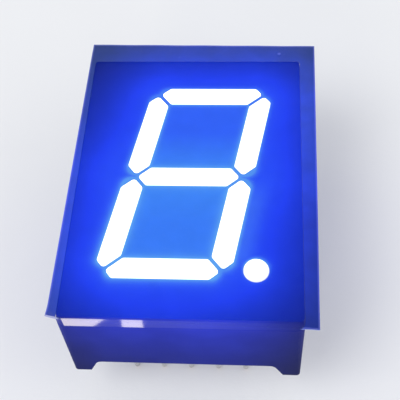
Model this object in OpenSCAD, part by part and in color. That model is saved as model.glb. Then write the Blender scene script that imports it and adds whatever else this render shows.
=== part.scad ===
// Single-digit seven segment display with a decimal point, for through-hole mounting.
// The digit faces +Z with its top towards +Y. The origin is the middle of the ten-pin
// pattern, on the plane that the four corner feet stand on.

/* [Housing] */
// Width of the housing across the digit
body_w = 19.7; // [19:0.1:23]
// Length of the housing from the foot of the digit to its head
body_l = 28; // [27.5:0.1:32]
// Height from the feet to the printed face
body_h = 9.7; // [8.5:0.1:13]
// Radius of the upright corners under the bevel
corner_r = 0.8; // [0.3:0.05:1]
// How far each wall leans in between the bevel and the feet
wall_draft = 0.02; // [0:0.01:0.2]
// Drop of the bevel round the face
bevel_h = 0.6; // [0.3:0.05:1]
// Width of the bevel at the head and the foot of the digit
bevel_end = 0.55; // [0.2:0.05:0.8]
// Width of the bevel along the two sides
bevel_side = 0.1; // [0.05:0.05:0.6]
// Radius of the corners of the printed face
face_r = 0.35; // [0.2:0.05:0.6]
// Thickness of the outer walls beside the board
wall_t = 0.8; // [0.6:0.05:1.1]
// Width of the ledge that the board's edge seats on
ledge_w = 0.6; // [0.4:0.05:0.8]
// Thickness of the front plate
plate_t = 1; // [0.6:0.1:1.5]
// Thickness of the ink on the face
print_t = 0.05; // [0.03:0.01:0.1]

/* [Feet] */
// Height of the feet below the cut-back walls
foot_h = 1.9; // [1.2:0.1:2.5]
// Width of a foot where it stands
foot_w = 1.5; // [1:0.1:2.5]
// Extra width of a foot at its root
foot_flare = 0.8; // [0.2:0.1:1.5]
// Radius where a foot runs into the wall
foot_r = 0.6; // [0.2:0.1:1]
// Radius of the upright corner of a foot where it stands
foot_corner_r = 0.3; // [0.2:0.05:1]

/* [Digit] */
// Height of the digit
digit_h = 20; // [18:0.1:21]
// Width of the digit, measured square to its height
digit_w = 11.2; // [10:0.1:12]
// Slant of the digit in degrees
slant = 10; // [0:1:12]
// Width of a segment
seg_w = 1.9; // [1.5:0.05:2.2]
// Gap between neighbouring segments
seg_gap = 0.3; // [0.2:0.02:0.5]
// Leg of the cut across each outer corner of the digit
digit_cut = 1.65; // [1.2:0.05:1.8]
// Radius of the tips of the segments
tip_r = 0.3; // [0.1:0.05:0.45]
// Diameter of the decimal point
dot_d = 2; // [1.6:0.1:2.4]
// Place of the decimal point to the right of the digit's centre
dot_x = 5.95; // [5.7:0.05:6.5]

/* [Light wells] */
// How far each side of a well leans in from the face to the board
well_draft = 0.35; // [0.1:0.05:0.45]
// Radius of the corners of a well at the board
well_base_r = 0.12; // [0.08:0.02:0.2]
// Thickness of the wall round a well
well_wall = 0.55; // [0.3:0.05:0.7]
// Clearance of each casting in its mould
cast_gap = 0.02; // [0.01:0.01:0.04]

/* [Circuit board] */
// Thickness of the board
board_t = 1; // [0.8:0.1:1.6]
// Clearance of the board's edge in its recess
board_gap = 0.1; // [0.05:0.05:0.2]
// Radius of the board's corners
board_r = 0.4; // [0.2:0.1:1]
// Thickness of the back resin behind the board
fill_t = 1.2; // [1:0.1:1.6]
// Depth of the resin's surface above the cut-back walls
fill_dip = 0.3; // [0.1:0.05:0.6]
// Diameter of the two locating pegs
peg_d = 1; // [0.8:0.1:1.2]
// Diameter of the shoulder behind each peg
peg_shoulder_d = 1.8; // [1.4:0.1:2.4]
// Diameter of the staked head of a peg
peg_head_d = 1.7; // [1.3:0.1:2]
// Height of the staked head of a peg
peg_head_h = 0.45; // [0.3:0.05:0.7]
// Radial clearance of a peg in the board
peg_gap = 0.05; // [0.02:0.01:0.1]

/* [Pins] */
// Diameter of a pin
pin_d = 0.5; // [0.4:0.05:0.6]
// Diameter of a pin's shank, which the board and the resin hold
shank_d = 0.9; // [0.8:0.05:1]
// Height above the feet where a pin widens to its shank
shank_z = 1.2; // [0.5:0.1:1.2]
// Length of a pin below the feet
pin_len = 5; // [3:0.5:8]
// Distance between neighbouring pins in a row
pin_pitch = 2.54; // [2:0.02:2.6]
// Distance between the two rows of pins
row_pitch = 22.86; // [22.6:0.02:23.2]
// Number of pins in a row
row_count = 5; // [3:2:5]
// Height of a pin above the front of the board
pin_proud = 0.5; // [0.2:0.1:1]
// Length of the taper at a pin's tip
pin_taper = 0.3; // [0.1:0.05:0.5]
// Radial clearance of a shank in its hole in the board
pin_gap = 0.1; // [0.05:0.01:0.15]
// Diameter of a solder joint on the board
solder_d = 1.6; // [1.5:0.1:1.9]
// Height of a solder joint
solder_h = 0.7; // [0.4:0.05:0.9]
// Thickness of a solder joint at its rim
solder_rim = 0.08; // [0.05:0.01:0.15]

/* [Chips] */
// Side of an LED chip
die_w = 0.36; // [0.25:0.01:0.42]
// Thickness of an LED chip
die_h = 0.12; // [0.08:0.01:0.2]
// Distance between the two chips of a segment
die_pitch = 3.4; // [2.8:0.1:4]
// Side of the copper land under a chip
die_land = 0.44; // [0.42:0.01:0.5]
// Side of the copper land under the end of a bond wire
wire_land = 0.3; // [0.2:0.01:0.3]
// Thickness of the copper lands
land_t = 0.04; // [0.03:0.01:0.07]
// Diameter of a bond wire
wire_d = 0.05; // [0.03:0.01:0.07]
// Distance from the chip's centre to a wire's foot on it
wire_foot = 0.08; // [0.06:0.01:0.1]
// Distance from a wire's foot on the chip to its foot on the board
wire_span = 0.34; // [0.32:0.01:0.36]

/* [Protective film] */
// How far the film reaches past each side of the housing
film_side = 0.85; // [0.2:0.05:2]
// How far the film reaches past the head and the foot of the housing
film_end = 0.7; // [0.2:0.05:2]
// Thickness of the film
film_t = 0.1; // [0.08:0.01:0.2]
// Turn of the film on the face in degrees
film_turn = -0.7; // [-2:0.1:2]
// Place of the film's centre to the right of the face's centre
film_dx = 0.4; // [-0.5:0.1:0.5]
// Place of the film's centre above the face's centre
film_dy = 0.8; // [-1:0.1:1]
// Height that the loose corner of the film stands up
film_lift = 0.8; // [0.2:0.1:1.5]
// Length of the loose corner along the film's diagonal
film_peel = 4; // [2:0.5:8]

/* [Hidden] */
$fn = 48;
CUT = 1;
ARC_STEPS = 5;
FILM_ACROSS = 10;
FILM_ALONG = 14;
SEGMENTS = ["a", "b", "c", "d", "e", "f", "g"];
DIES_PER_SEGMENT = 2;

face_z = body_h - print_t;
fill_z = foot_h + fill_dip;
board_back = fill_z + fill_t;
board_front = board_back + board_t;
die_z = board_front + land_t;
plate_z = face_z - plate_t;
recess_w = body_w - 2 * (wall_t + wall_draft);
recess_l = body_l - 2 * (wall_t + wall_draft);
core_w = recess_w - 2 * ledge_w;
core_l = recess_l - 2 * ledge_w;
half_w = digit_w / 2;
half_h = digit_h / 2;
gap_shift = seg_gap / sqrt(2);
dot_pos = [dot_x, dot_d / 2 - half_h];
peg_y = (digit_h - seg_w) / 4;
film_w = body_w + 2 * film_side;
film_l = body_l + 2 * film_end;

PINS = [for (i = [1 : 2 * row_count]) i];
DIES = concat([for (s = SEGMENTS) for (i = [1 : DIES_PER_SEGMENT]) [s, i]], [["dot", 1]]);

// Outlines. Each is a list of corners, taken anticlockwise.

function turned(p, angle) = [p.x * cos(angle) - p.y * sin(angle), p.x * sin(angle) + p.y * cos(angle)];

function slanted(p) = [p.x + p.y * tan(slant), p.y];

function mirrored(points, sx, sy) = [for (p = points) [p.x * sx, p.y * sy]];

function reversed(points) = [for (i = [len(points) - 1 : -1 : 0]) points[i]];

function inward(a, b) = let (d = b - a) [-d.y, d.x] / norm(d);

// The outline moved in by `inset`, with every corner rounded to the radius r.
function rounded(points, inset, r) = [
    for (i = [0 : len(points) - 1])
        let (
            here = points[i],
            n1 = inward(points[(i + len(points) - 1) % len(points)], here),
            n2 = inward(here, points[(i + 1) % len(points)]),
            centre = here + (inset + r) * (n1 + n2) / (1 + n1 * n2),
            start = atan2(-n1.y, -n1.x),
            turn = acos(n1 * n2)
        )
        for (k = [0 : ARC_STEPS])
            centre + r * [cos(start + turn * k / ARC_STEPS), sin(start + turn * k / ARC_STEPS)]
];

function rectangle(w, l) = [[-w, -l] / 2, [w, -l] / 2, [w, l] / 2, [-w, l] / 2];

// Corners of the top bar before the digit is slanted.
function top_bar() = [
    [half_w - (digit_cut + gap_shift) / 2, half_h - (digit_cut - gap_shift) / 2],
    [half_w - digit_cut, half_h],
    [digit_cut - half_w, half_h],
    [(digit_cut + gap_shift) / 2 - half_w, half_h - (digit_cut - gap_shift) / 2],
    [seg_w + gap_shift - half_w, half_h - seg_w],
    [half_w - seg_w - gap_shift, half_h - seg_w]
];

// Corners of the upper right bar before the digit is slanted.
function side_bar() = [
    [half_w - seg_w / 2, gap_shift],
    [half_w, seg_w / 2 + gap_shift],
    [half_w, half_h - digit_cut],
    [half_w - (digit_cut - gap_shift) / 2, half_h - (digit_cut + gap_shift) / 2],
    [half_w - seg_w, half_h - seg_w - gap_shift],
    [half_w - seg_w, seg_w / 2 + gap_shift]
];

// Corners of the middle bar before the digit is slanted.
function middle_bar() = [
    [half_w - seg_w / 2 - gap_shift, 0],
    [half_w - seg_w - gap_shift, seg_w / 2],
    [seg_w + gap_shift - half_w, seg_w / 2],
    [seg_w / 2 + gap_shift - half_w, 0],
    [seg_w + gap_shift - half_w, -seg_w / 2],
    [half_w - seg_w - gap_shift, -seg_w / 2]
];

function upright_bar(s) =
    s == "a" ? top_bar() :
    s == "b" ? side_bar() :
    s == "c" ? reversed(mirrored(side_bar(), 1, -1)) :
    s == "d" ? reversed(mirrored(top_bar(), 1, -1)) :
    s == "e" ? mirrored(side_bar(), -1, -1) :
    s == "f" ? reversed(mirrored(side_bar(), -1, 1)) :
    middle_bar();

function segment_corners(s) = [for (p = upright_bar(s)) slanted(p)];

function middle_of(points) = [for (p = points) 1] * points / len(points);

function segment_middle(s) = s == "dot" ? dot_pos : middle_of(segment_corners(s));

// Direction that a segment runs in, in degrees from +X.
function segment_angle(s) = s == "a" || s == "d" || s == "g" || s == "dot" ? 0 : 90 - slant;

function die_offset(s, i) = s == "dot" ? 0 : die_pitch * (i - (DIES_PER_SEGMENT + 1) / 2);

function die_place(s, i) = segment_middle(s) + turned([die_offset(s, i), 0], segment_angle(s));

function pin_place(i) =
    i <= row_count
        ? [pin_pitch * (i - (row_count + 1) / 2), -row_pitch / 2]
        : [pin_pitch * ((3 * row_count + 1) / 2 - i), row_pitch / 2];

function peg_place(side) = slanted([0, side * peg_y]);

function ring_at(outline, z) = [for (p = outline) [p.x, p.y, z]];

// Forms

// A solid between outlines of equal length, the lowest first.
module loft(rings) {
    n = len(rings[0]);
    points = [for (ring = rings) each ring];
    sides = [
        for (j = [0 : len(rings) - 2])
            for (i = [0 : n - 1])
                [j * n + i, (j + 1) * n + i, (j + 1) * n + (i + 1) % n, j * n + (i + 1) % n]
    ];
    bottom = [for (i = [0 : n - 1]) i];
    top = [for (i = [n - 1 : -1 : 0]) (len(rings) - 1) * n + i];
    polyhedron(points, concat([bottom, top], sides));
}

module slab(outline, z0, z1) {
    translate([0, 0, z0]) linear_extrude(z1 - z0) polygon(outline);
}

module at_pins() {
    for (i = PINS) translate(pin_place(i)) children();
}

module at_pegs() {
    for (side = [-1, 1]) translate(peg_place(side)) children();
}

module at_die(s, i) {
    translate(concat(die_place(s, i), [0])) rotate(segment_angle(s)) children();
}

// The inside of a light well from z0 to z1, with `grow` added all round.
module well(s, z0, z1, grow) {
    depth = face_z - board_front;
    inset0 = well_draft * (face_z - z0) / depth - grow;
    inset1 = well_draft * (face_z - z1) / depth - grow;
    if (s == "dot")
        translate(concat(dot_pos, [z0])) cylinder(z1 - z0, dot_d / 2 - inset0, dot_d / 2 - inset1);
    else {
        corners = segment_corners(s);
        r = max(well_base_r, well_base_r + grow);
        loft([ring_at(rounded(corners, inset0, r), z0), ring_at(rounded(corners, inset1, tip_r + max(0, grow)), z1)]);
    }
}

// The flat outline of a segment on the face, with `grow` added all round.
module window(s, grow) {
    if (s == "dot")
        translate(dot_pos) circle(dot_d / 2 + grow);
    else
        polygon(rounded(segment_corners(s), -grow, tip_r));
}

// A chip or its pocket: a square block standing on z = 0.
module block(side, height, grow) {
    translate([-side / 2 - grow, -side / 2 - grow, -grow])
        cube([side + 2 * grow, side + 2 * grow, height + 2 * grow]);
}

// The three copper lands of a chip, raised above z = 0 and rooted below it.
module lands(grow) {
    translate([0, 0, -land_t]) {
        block(die_land, 2 * land_t, grow);
        for (side = [-1, 1]) translate([side * (wire_foot + wire_span), 0]) block(wire_land, 2 * land_t, grow);
    }
}

// One bond wire: a half-round arch from the chip's top, with a straight leg to the board's land.
module bond_wire(grow) {
    r = wire_d / 2 + grow;
    bend = wire_span / 2;
    translate([bend, 0, die_h]) rotate([90, 0, 0])
        rotate_extrude(angle = 180) translate([bend, 0]) circle(r);
    translate([wire_span, 0, 0]) cylinder(die_h, r = r);
}

module bond_wire_pair(grow) {
    for (side = [0, 180]) rotate(side) translate([wire_foot, 0, 0]) bond_wire(grow);
}

// The staked dome of a locating peg, hanging below z = 0.
module peg_head(grow) {
    rotate_extrude() polygon([
        [0, grow],
        [peg_head_d / 2 + grow, grow],
        [peg_head_d / 2 + grow, -peg_head_h / 3 - grow],
        [peg_head_d / 3 + grow, -peg_head_h - grow],
        [0, -peg_head_h - grow]
    ]);
}

// A solder fillet round a pin, hanging below z = 0, without the hole for the pin.
module solder_cone(grow) {
    rotate_extrude() polygon([
        [0, grow],
        [solder_d / 2 + grow, grow],
        [solder_d / 2 + grow, -solder_rim - grow],
        [(solder_d + 3 * shank_d) / 8 + grow, -solder_h / 2 - grow],
        [shank_d / 2 + solder_rim + grow, -solder_h - grow],
        [0, -solder_h - grow]
    ]);
}

// Outline of the space cut away under a wall, standing upright, between the feet of a side.
function notch(side) = let (
    open = side / 2 - foot_w,
    slope = foot_flare / foot_h,
    low = CUT + foot_r
) rounded([
    [-open - slope * low, -low],
    [open + slope * low, -low],
    [open - foot_flare, foot_h],
    [foot_flare - open, foot_h]
], 0, foot_r);

// Sub-parts

module housing_block() {
    foot = rounded(rectangle(body_w - 2 * wall_draft, body_l - 2 * wall_draft), 0, foot_corner_r);
    shoulder = rounded(rectangle(body_w, body_l), 0, corner_r);
    face = rounded(rectangle(body_w - 2 * bevel_side, body_l - 2 * bevel_end), 0, face_r);
    loft([ring_at(foot, 0), ring_at(shoulder, face_z - bevel_h), ring_at(face, face_z)]);
}

// The space behind the front plate, round the light wells and the pegs' shoulders.
module core() {
    difference() {
        slab(rounded(rectangle(core_w, core_l), 0, board_r), board_front - CUT, plate_z);
        for (s = concat(SEGMENTS, ["dot"])) well(s, board_front, face_z, well_wall);
        at_pegs() translate([0, 0, board_front]) cylinder(plate_z - board_front, d = peg_shoulder_d);
    }
}

module reflector_housing() {
    color("lavender") {
        difference() {
            housing_block();
            slab(rounded(rectangle(recess_w, recess_l), 0, board_r), -CUT, board_front);
            core();
            for (s = concat(SEGMENTS, ["dot"])) well(s, board_front - cast_gap, face_z + cast_gap, 0);
            rotate([90, 0, 0]) linear_extrude(body_l + CUT, center = true) polygon(notch(body_w));
            rotate([90, 0, 90]) linear_extrude(body_w + CUT, center = true) polygon(notch(body_l));
        }
        at_pegs() {
            translate([0, 0, board_back]) cylinder(board_t, d = peg_d);
            translate([0, 0, board_back]) peg_head(0);
        }
    }
}

module face_print() {
    face = rounded(rectangle(body_w - 2 * bevel_side, body_l - 2 * bevel_end), 0, face_r);
    color("midnightblue") translate([0, 0, face_z]) linear_extrude(print_t) difference() {
        polygon(face);
        for (s = concat(SEGMENTS, ["dot"])) window(s, 0);
    }
}

module segment(s) {
    color("white") difference() {
        union() {
            well(s, board_front + cast_gap, face_z, -cast_gap);
            translate([0, 0, face_z]) linear_extrude(print_t) window(s, -cast_gap);
        }
        for (d = DIES) if (d[0] == s) at_die(s, d[1]) chip_pocket();
    }
}

// What a chip, its lands and its two wires take out of the resin above them.
module chip_pocket() {
    translate([0, 0, board_front]) lands(cast_gap);
    translate([0, 0, die_z]) block(die_w, die_h, cast_gap);
    translate([0, 0, die_z]) bond_wire_pair(cast_gap);
}

module circuit_board() {
    board = rounded(rectangle(recess_w - 2 * board_gap, recess_l - 2 * board_gap), 0, board_r);
    color("darkgreen") {
        difference() {
            slab(board, board_back, board_front);
            at_pins() translate([0, 0, board_back - CUT]) cylinder(board_t + 2 * CUT, r = shank_d / 2 + pin_gap);
            at_pegs() translate([0, 0, board_back - CUT]) cylinder(board_t + 2 * CUT, r = peg_d / 2 + peg_gap);
        }
        for (d = DIES) at_die(d[0], d[1]) translate([0, 0, board_front]) lands(0);
    }
}

module back_resin() {
    pour = rounded(rectangle(recess_w - 2 * cast_gap, recess_l - 2 * cast_gap), 0, board_r);
    color("whitesmoke") difference() {
        slab(pour, fill_z, board_back - cast_gap);
        at_pins() translate([0, 0, board_back]) {
            solder_cone(cast_gap);
            translate([0, 0, -fill_t - CUT]) cylinder(fill_t + CUT, r = shank_d / 2 + cast_gap);
        }
        at_pegs() translate([0, 0, board_back]) peg_head(cast_gap);
    }
}

module solder_joints() {
    color("silver") at_pins() difference() {
        translate([0, 0, board_back]) solder_cone(0);
        translate([0, 0, board_back - solder_h - CUT]) cylinder(solder_h + 2 * CUT, r = shank_d / 2 + cast_gap);
    }
}

module pin(i) {
    r = pin_d / 2;
    shank_r = shank_d / 2;
    color("gainsboro") translate(pin_place(i)) rotate_extrude() polygon([
        [0, -pin_len],
        [r / 2, -pin_len],
        [r, pin_taper - pin_len],
        [r, shank_z],
        [shank_r, shank_z + shank_r - r],
        [shank_r, board_front + pin_proud],
        [0, board_front + pin_proud]
    ]);
}

module led_chip(s, i) {
    color("deepskyblue") at_die(s, i) translate([0, 0, die_z]) block(die_w, die_h, 0);
}

module bond_wires(s) {
    color("gold") for (d = DIES) if (d[0] == s) at_die(s, d[1]) translate([0, 0, die_z]) bond_wire_pair(0);
}

// Height of the film's underside above the face at the place p on the film.
function film_rise(p) = let (
    corner = norm([film_w, film_l]) / 2,
    along = -(p * [film_w, film_l]) / norm([film_w, film_l]),
    loose = max(0, along - corner + film_peel)
) film_lift * pow(loose / film_peel, 2);

function film_point(i, j, rise) = let (
    p = [film_w * (i / FILM_ACROSS - 0.5), film_l * (j / FILM_ALONG - 0.5)],
    q = [film_dx, film_dy] + turned(p, film_turn)
) [q.x, q.y, body_h + film_rise(p) + rise];

// The film is a grid of points on its underside and the same grid on its top.
module protective_film() {
    row = FILM_ACROSS + 1;
    sheet = row * (FILM_ALONG + 1);
    points = [
        for (rise = [0, film_t]) for (j = [0 : FILM_ALONG]) for (i = [0 : FILM_ACROSS]) film_point(i, j, rise)
    ];
    cells = [for (j = [0 : FILM_ALONG - 1]) for (i = [0 : FILM_ACROSS - 1]) j * row + i];
    under = [for (c = cells) each [[c, c + 1, c + row], [c + 1, c + row + 1, c + row]]];
    over = [for (t = under) [t[2], t[1], t[0]] + [sheet, sheet, sheet]];
    edge = concat(
        [for (i = [0 : FILM_ACROSS]) i],
        [for (j = [1 : FILM_ALONG]) j * row + FILM_ACROSS],
        [for (i = [FILM_ACROSS - 1 : -1 : 0]) FILM_ALONG * row + i],
        [for (j = [FILM_ALONG - 1 : -1 : 1]) j * row]
    );
    rim = [
        for (k = [0 : len(edge) - 1])
            let (a = edge[k], b = edge[(k + 1) % len(edge)])
            [b, a, a + sheet, b + sheet]
    ];
    color("aliceblue", 0.4) polyhedron(points, concat(under, over, rim));
}

reflector_housing();
face_print();
circuit_board();
back_resin();
solder_joints();
protective_film();
for (s = SEGMENTS) segment(s);
segment("dot");  // decimal_point
for (i = PINS) pin(i);
for (d = DIES) led_chip(d[0], d[1]);
for (s = concat(SEGMENTS, ["dot"])) bond_wires(s);
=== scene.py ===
"""Looks of a lit seven segment display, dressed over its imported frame.

Lengths are in metres unless a name ends in _mm. Shaders work in millimetres.
A span holds the two ends of a step, or the values at those ends.
"""
import logging
import math
from dataclasses import dataclass
from enum import Enum
from functools import reduce
from typing import Sequence

import bpy
import numpy as np
from mathutils import Matrix, Vector


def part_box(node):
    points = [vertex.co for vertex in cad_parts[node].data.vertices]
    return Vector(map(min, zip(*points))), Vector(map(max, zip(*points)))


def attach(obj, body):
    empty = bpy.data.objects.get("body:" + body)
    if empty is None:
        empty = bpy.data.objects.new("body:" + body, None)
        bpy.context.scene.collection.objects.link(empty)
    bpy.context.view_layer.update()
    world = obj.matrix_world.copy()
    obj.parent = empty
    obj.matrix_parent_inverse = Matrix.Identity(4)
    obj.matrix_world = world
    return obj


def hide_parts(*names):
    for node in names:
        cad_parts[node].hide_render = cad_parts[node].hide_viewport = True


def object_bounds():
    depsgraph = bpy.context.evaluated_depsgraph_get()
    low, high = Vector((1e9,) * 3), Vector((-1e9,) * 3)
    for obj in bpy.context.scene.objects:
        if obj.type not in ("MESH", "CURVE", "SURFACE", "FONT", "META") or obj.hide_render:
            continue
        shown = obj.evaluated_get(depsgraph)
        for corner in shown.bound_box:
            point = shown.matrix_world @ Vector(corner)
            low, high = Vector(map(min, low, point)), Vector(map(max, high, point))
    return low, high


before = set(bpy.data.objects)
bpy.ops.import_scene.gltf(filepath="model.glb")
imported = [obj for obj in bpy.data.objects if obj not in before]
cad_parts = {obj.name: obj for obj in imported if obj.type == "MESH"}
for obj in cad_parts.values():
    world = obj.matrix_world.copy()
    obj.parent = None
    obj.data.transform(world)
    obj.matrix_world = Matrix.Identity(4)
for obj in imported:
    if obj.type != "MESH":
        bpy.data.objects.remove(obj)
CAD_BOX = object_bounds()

LOG = logging.getLogger("display")
MM = 0.001
Colour = tuple[float, float, float]
Triple = tuple[float, float, float]
Point = tuple[float, float]
Span = tuple[float, float]
Socket = bpy.types.NodeSocket
Outputs = bpy.types.NodeOutputs
Value = float | tuple | Socket
Looks = dict[str, Value]
WHITE = (1.0, 1.0, 1.0)
NOISE_SPAN = (0.2, 0.8)
NARROW_NOISE_SPAN = (0.35, 0.65)


class Effect(Enum):
    """Shader node groups that several finishes use."""

    GLOW = "segment glow"
    GRAIN = "moulded grain"
    DUST = "dust"
    SCUFF = "scuffs"


class Slot(Enum):
    """Material slots of the record."""

    FILM = "film"
    RESIN = "back_resin"


@dataclass(frozen=True)
class Digit:
    """Sizes of the lit digit, for the light that spreads from it."""

    height_mm: float = 20.0
    width_mm: float = 11.2
    bar_mm: float = 1.9
    slant_deg: float = 10.0
    corner_mm: float = 1.7
    corner_cut: float = 0.45
    waist_cut: float = 0.55
    dot_mm: float = 2.0
    dot_x_mm: float = 5.95
    dot_share: float = 0.42
    dot_narrowing: float = 2.0

    def slope(self) -> float:
        """Gives how far the digit leans over on each millimetre up."""
        return math.tan(math.radians(self.slant_deg))

    def lean(self, x: float, y: float) -> Point:
        """Slants one point of the upright digit."""
        return (x + y * self.slope(), y)

    def bars(self) -> list[tuple[Point, Point]]:
        """Gives the middle line of each bar.

        Returns:
            The two ends of each of the seven bars, in millimetres.
        """
        x = (self.width_mm - self.bar_mm) / 2
        y = (self.height_mm - self.bar_mm) / 2
        end_x, end_y = x - self.corner_cut * self.corner_mm, y - self.corner_cut * self.corner_mm
        near = self.waist_cut * self.bar_mm
        upright = [((-end_x, y), (end_x, y)), ((-end_x, -y), (end_x, -y)), ((-x + near, 0), (x - near, 0))]
        for side in (-x, x):
            upright += [((side, near), (side, end_y)), ((side, -end_y), (side, -near))]
        return [(self.lean(*a), self.lean(*b)) for a, b in upright]

    def dot(self) -> Point:
        """Gives the middle of the decimal point, in millimetres."""
        return (self.dot_x_mm, (self.dot_mm - self.height_mm) / 2)


@dataclass(frozen=True)
class FilmCut:
    """Cut size and place of the film."""

    size_mm: Point = (21.4, 29.4)
    shift_mm: Point = (0.36, 0.8)
    turn_deg: float = -0.6

    def turn(self) -> Point:
        """Gives the cosine and the sine of the film's turn."""
        return math.cos(math.radians(self.turn_deg)), math.sin(math.radians(self.turn_deg))


class Shader:
    """Adds and joins the nodes of a material, a world or a node group."""

    # The Mix node's inputs for the factor and the two colours, and its output for their mix.
    MIX_INPUTS = (0, 6, 7)
    MIX_OUTPUT = 2

    def __init__(self, tree: bpy.types.NodeTree) -> None:
        """Keeps the tree that the nodes go into."""
        self.tree = tree

    def add(self, kind: str, **settings: object) -> bpy.types.Node:
        """Adds one node.

        Args:
            kind: The node's type name.
            **settings: Values for the node's own properties.

        Returns:
            The new node.
        """
        node = self.tree.nodes.new(kind)
        for name, value in settings.items():
            setattr(node, name, value)
        return node

    def feed(self, socket: Socket, value: Value) -> None:
        """Joins another socket to an input, or sets the input to a constant.

        Args:
            socket: The input.
            value: The other socket or the constant.
        """
        if isinstance(value, Socket):
            self.tree.links.new(value, socket)
        else:
            socket.default_value = value

    def math(self, operation: str, *values: Value, clamp: bool = False) -> Socket:
        """Adds a Math node.

        Args:
            operation: The name of the operation.
            *values: Its inputs in order.
            clamp: Whether the result stays from 0 to 1.

        Returns:
            The result.
        """
        node = self.add("ShaderNodeMath", operation=operation, use_clamp=clamp)
        for socket, value in zip(node.inputs, values):
            self.feed(socket, value)
        return node.outputs[0]

    def product(self, *values: Value) -> Socket:
        """Multiplies values with each other."""
        return reduce(lambda a, b: self.math("MULTIPLY", a, b), values)

    def highest(self, *values: Value) -> Socket:
        """Gives the highest of some values."""
        return reduce(lambda a, b: self.math("MAXIMUM", a, b), values)

    def vector(self, operation: str, *values: Value, scale: Value | None = None) -> Socket:
        """Adds a Vector Math node.

        Args:
            operation: The name of the operation.
            *values: Its vector inputs in order.
            scale: The factor of a SCALE operation.

        Returns:
            The result, a number for the operations that measure.
        """
        node = self.add("ShaderNodeVectorMath", operation=operation)
        for socket, value in zip(node.inputs, values):
            self.feed(socket, value)
        if scale is not None:
            self.feed(node.inputs["Scale"], scale)
        measures = operation in ("DOT_PRODUCT", "LENGTH", "DISTANCE")
        return node.outputs["Value" if measures else "Vector"]

    def mix(self, factor: Value, low: Value, high: Value) -> Socket:
        """Mixes two colours.

        Args:
            factor: The share of the second colour.
            low: The first colour.
            high: The second colour.

        Returns:
            The mixed colour.
        """
        node = self.add("ShaderNodeMix", data_type="RGBA")
        for index, value in zip(self.MIX_INPUTS, (factor, low, high)):
            self.feed(node.inputs[index], (*value, 1) if isinstance(value, tuple) else value)
        return node.outputs[self.MIX_OUTPUT]

    def tint(self, colour: Value, strength: Value) -> Socket:
        """Gives a colour times a strength."""
        return self.vector("SCALE", colour, scale=strength)

    def blend(self, value: Value, start: float, end: float, low: float = 0, high: float = 1) -> Socket:
        """Turns a value into a smooth step.

        Args:
            value: The value to read.
            start: Where the step starts.
            end: Where the step ends.
            low: The result up to the start.
            high: The result from the end on.

        Returns:
            The stepped value.
        """
        node = self.add("ShaderNodeMapRange", interpolation_type="SMOOTHSTEP")
        for socket, number in zip(node.inputs, (value, start, end, low, high)):
            self.feed(socket, number)
        return node.outputs[0]

    def vary(self, noise: Value, results: Span) -> Socket:
        """Stretches the usual run of a noise over a span of results."""
        return self.blend(noise, *NOISE_SPAN, *results)

    def ramp(self, factor: Value, stops: Sequence[tuple[float, Colour]]) -> Socket:
        """Adds a colour ramp.

        Args:
            factor: Where the ramp is read.
            stops: Places from 0 to 1 with their colours.

        Returns:
            The colour.
        """
        node = self.add("ShaderNodeValToRGB")
        elements = node.color_ramp.elements
        elements.remove(elements[1])
        for index, (place, colour) in enumerate(stops):
            element = elements[0] if index == 0 else elements.new(place)
            element.position, element.color = place, (*colour, 1)
        self.feed(node.inputs[0], factor)
        return node.outputs[0]

    def place(self) -> Socket:
        """Gives the place on the object, in millimetres."""
        return self.vector("SCALE", self.add("ShaderNodeTexCoord").outputs["Object"], scale=1 / MM)

    def flat_place(self) -> Socket:
        """Gives the place seen from above, with no height, in millimetres."""
        return self.vector("MULTIPLY", self.place(), (1, 1, 0))

    def axes(self, vector: Value) -> Outputs:
        """Splits a vector.

        Args:
            vector: The vector to split.

        Returns:
            Its three axes.
        """
        node = self.add("ShaderNodeSeparateXYZ")
        self.feed(node.inputs[0], vector)
        return node.outputs

    def from_point(self, place: Value, point: Point) -> Socket:
        """Gives the way from a flat place to a point."""
        return self.vector("DISTANCE", place, (*point, 0))

    def from_line(self, place: Value, start: Point, end: Point) -> Socket:
        """Gives the way to the straight line between two points.

        Args:
            place: The flat place to measure from.
            start: The line's first end.
            end: The line's second end.

        Returns:
            The way, in millimetres.
        """
        along = (end[0] - start[0], end[1] - start[1], 0)
        length_squared = along[0] ** 2 + along[1] ** 2
        from_start = self.vector("SUBTRACT", place, (*start, 0))
        share = self.vector("DOT_PRODUCT", from_start, tuple(v / length_squared for v in along))
        nearest = self.vector("SCALE", along, scale=self.math("ADD", share, 0.0, clamp=True))
        return self.vector("DISTANCE", from_start, nearest)

    def noise(self, scale: Value, detail: float = 3, stretch: Triple = (1, 1, 1)) -> Socket:
        """Adds noise over the object.

        Args:
            scale: Waves in a millimetre.
            detail: How many finer layers lie over the first.
            stretch: Factors on the three axes.

        Returns:
            A value about 0.5.
        """
        node = self.add("ShaderNodeTexNoise")
        self.feed(node.inputs["Vector"], self.vector("MULTIPLY", self.place(), stretch))
        self.feed(node.inputs["Scale"], scale)
        node.inputs["Detail"].default_value = detail
        return node.outputs[0]

    def use(self, effect: Effect, **values: Value) -> Outputs:
        """Places a node group.

        Args:
            effect: The group to place.
            **values: Its inputs by name. The others keep the group's own values.

        Returns:
            The group's outputs.
        """
        node = self.add("ShaderNodeGroup")
        node.node_tree = bpy.data.node_groups[effect.value]
        for name, value in values.items():
            self.feed(node.inputs[name], value)
        return node.outputs


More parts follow.
